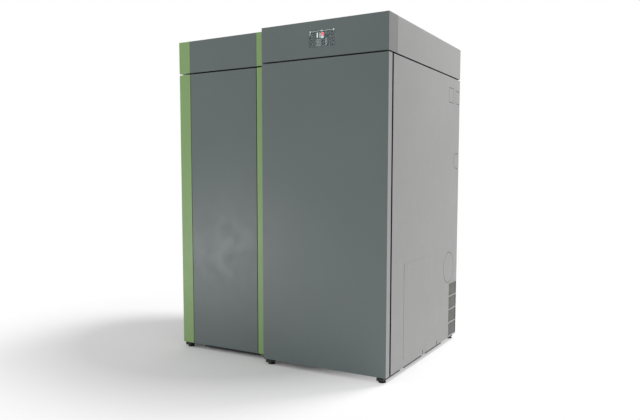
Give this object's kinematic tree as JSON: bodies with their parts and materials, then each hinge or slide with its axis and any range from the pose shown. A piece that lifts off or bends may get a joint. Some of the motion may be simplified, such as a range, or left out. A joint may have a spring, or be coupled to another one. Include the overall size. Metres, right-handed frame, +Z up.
{
  "type": "pellet boiler",
  "caption": "Floor-standing pellet boiler cabinet: a boiler module with touch display and large door beside a set-back pellet store module with green edge strips.",
  "frame": {"origin": "on the floor, under the middle of the box round the cabinet and its rear connections", "axes": "+Z up, front towards -Y, +X to the right seen from the front"},
  "size_m": [1.12, 0.998, 1.49],
  "materials": {
    "front_dark": "satin powder coat",
    "strip_green": "satin powder coat",
    "case_grey": "satin powder coat",
    "frame_black": "matt black",
    "foot_rubber": "matt",
    "screw_steel": "zinc plated",
    "grille_grey": "matt",
    "catch_plastic": "matt",
    "display_glass": "glossy touch glass",
    "vessel_steel": "heat-proof paint",
    "cast_iron": "as cast",
    "fireclay": "fired",
    "zinc_sheet": "galvanised sheet",
    "wheel_steel": "bare steel",
    "turbine_plastic": "moulded",
    "pipe_brass": "machined"
  },
  "bodies": {
    "cabinet": {"access_cover": "case_grey", "adjustable_feet": "foot_rubber", "boiler_base_frame": "frame_black", "boiler_casing_frame": "frame_black", "boiler_fascia": "case_grey", "boiler_fascia_front": "front_dark", "boiler_hood": "case_grey", "boiler_rear_panel": "case_grey", "boiler_vessel": "vessel_steel", "burner_pot": "cast_iron", "cleaning_cover": "vessel_steel", "control_unit": "catch_plastic", "display_glass": "display_glass", "display_housing": "catch_plastic", "door_catches": "catch_plastic", "door_hinges": "frame_black", "dosing_tube": "zinc_sheet", "drive_chain": "screw_steel", "drive_motors": "turbine_plastic", "firebox_lining": "fireclay", "flue_collector": "vessel_steel", "flue_spigot": "zinc_sheet", "hood_strips": "strip_green", "hopper_lid": "zinc_sheet", "panel_screws": "screw_steel", "partition_panel": "case_grey", "pellet_hopper": "zinc_sheet", "side_panel_left": "case_grey", "side_panel_right": "case_grey", "stoker_housing": "zinc_sheet", "store_base_frame": "frame_black", "store_casing_frame": "frame_black", "store_fascia": "front_dark", "store_hood": "case_grey", "store_rear_panel": "case_grey", "suction_turbine": "turbine_plastic", "switch_panel": "frame_black", "trim_strip_left": "strip_green", "trim_strip_right": "strip_green", "tube_bundle": "vessel_steel", "vent_grille": "grille_grey", "water_pipes": "pipe_brass"},
    "boiler_door": {"boiler_door": "case_grey", "boiler_door_front": "front_dark"},
    "store_door": {"store_door": "front_dark"},
    "latch_plunger": {"latch_plunger": "screw_steel"},
    "main_switch": {"main_switch": "catch_plastic"},
    "combustion_door": {"combustion_door": "cast_iron"},
    "combustion_door_handle": {"combustion_door_handle": "cast_iron"},
    "ash_box": {"ash_box": "zinc_sheet"},
    "ash_box_front_wheels": {"ash_box_front_wheels": "wheel_steel"},
    "ash_box_rear_wheels": {"ash_box_rear_wheels": "wheel_steel"},
    "fan_impeller": {"fan_impeller": "zinc_sheet"},
    "turbine_impeller": {"turbine_impeller": "turbine_plastic"},
    "dosing_auger": {"dosing_auger": "wheel_steel"},
    "valve_rotor": {"valve_rotor": "wheel_steel"},
    "stoker_auger": {"stoker_auger": "wheel_steel"},
    "cleaning_shaft": {"cleaning_shaft": "vessel_steel"},
    "turbulator_rake": {"turbulator_rake": "vessel_steel"},
    "tilting_grate": {"tilting_grate": "cast_iron"}
  },
  "joints": [
    {"name": "boiler_door_hinge", "type": "hinge", "parent": "cabinet", "child": "boiler_door", "pos_m": [-0.028, -0.487, 0.68], "axis": [0, 0, -1], "range_deg": [0, 120]},
    {"name": "store_door_hinge", "type": "hinge", "parent": "cabinet", "child": "store_door", "pos_m": [-0.486, -0.435, 0.68], "axis": [0, 0, -1], "range_deg": [0, 100]},
    {"name": "latch_plunger_slide", "type": "slide", "parent": "cabinet", "child": "latch_plunger", "axis": [0, 1, 0], "range_m": [0, 0.004], "stiffness_N_per_m": 300},
    {"name": "main_switch_rock", "type": "hinge", "parent": "cabinet", "child": "main_switch", "pos_m": [0.2, -0.445, 1.27], "axis": [1, 0, 0], "range_deg": [-8, 8]},
    {"name": "combustion_door_hinge", "type": "hinge", "parent": "cabinet", "child": "combustion_door", "pos_m": [0.112, -0.297, 0.58], "axis": [0, 0, -1], "range_deg": [0, 37]},
    {"name": "combustion_handle_turn", "type": "hinge", "parent": "combustion_door", "child": "combustion_door_handle", "pos_m": [0.38, -0.3083, 0.58], "axis": [0, 1, 0], "range_deg": [0, 90]},
    {"name": "ash_box_slide", "type": "slide", "parent": "cabinet", "child": "ash_box", "axis": [0, -1, 0], "range_m": [0, 0.165]},
    {"name": "front_wheels_roll", "type": "hinge", "parent": "ash_box", "child": "ash_box_front_wheels", "pos_m": [0.26, -0.2387, 0.0923], "axis": [1, 0, 0], "range_deg": [-1, 790]},
    {"name": "rear_wheels_roll", "type": "hinge", "parent": "ash_box", "child": "ash_box_rear_wheels", "pos_m": [0.26, -0.072, 0.0923], "axis": [1, 0, 0], "range_deg": [-1, 790]},
    {"name": "fan_spin", "type": "hinge", "parent": "cabinet", "child": "fan_impeller", "pos_m": [0.19, 0.24, 0.39], "axis": [0, 1, 0], "continuous": true},
    {"name": "turbine_spin", "type": "hinge", "parent": "cabinet", "child": "turbine_impeller", "pos_m": [-0.41, 0.101, 1.39], "axis": [0, 0, 1], "continuous": true},
    {"name": "dosing_auger_spin", "type": "hinge", "parent": "cabinet", "child": "dosing_auger", "pos_m": [-0.27, 0.05, 0.53], "axis": [0, 1, 0], "continuous": true},
    {"name": "valve_rotor_spin", "type": "hinge", "parent": "cabinet", "child": "valve_rotor", "pos_m": [-0.27, -0.139, 0.436], "axis": [0, 1, 0], "continuous": true},
    {"name": "stoker_auger_spin", "type": "hinge", "parent": "cabinet", "child": "stoker_auger", "pos_m": [-0.06, -0.139, 0.358], "axis": [1, 0, 0], "continuous": true},
    {"name": "cleaning_shaft_turn", "type": "hinge", "parent": "cabinet", "child": "cleaning_shaft", "pos_m": [0.26, 0.023, 1.045], "axis": [1, 0, 0], "range_deg": [0, 30]},
    {"name": "turbulator_lift", "type": "slide", "parent": "cabinet", "child": "turbulator_rake", "axis": [0, 0, 1], "range_m": [0, 0.031]},
    {"name": "tilting_grate_turn", "type": "hinge", "parent": "cabinet", "child": "tilting_grate", "pos_m": [0.26, -0.139, 0.272], "axis": [1, 0, 0], "range_deg": [0, 85]}
  ],
  "couplings": [
    {"joint": "front_wheels_roll", "follows": "ash_box_slide", "rad_per_m": 83.333},
    {"joint": "rear_wheels_roll", "follows": "ash_box_slide", "rad_per_m": 83.333},
    {"joint": "valve_rotor_spin", "follows": "dosing_auger_spin", "ratio": 1.5},
    {"joint": "cleaning_shaft_turn", "follows": "turbulator_lift", "rad_per_m": 16.858}
  ]
}
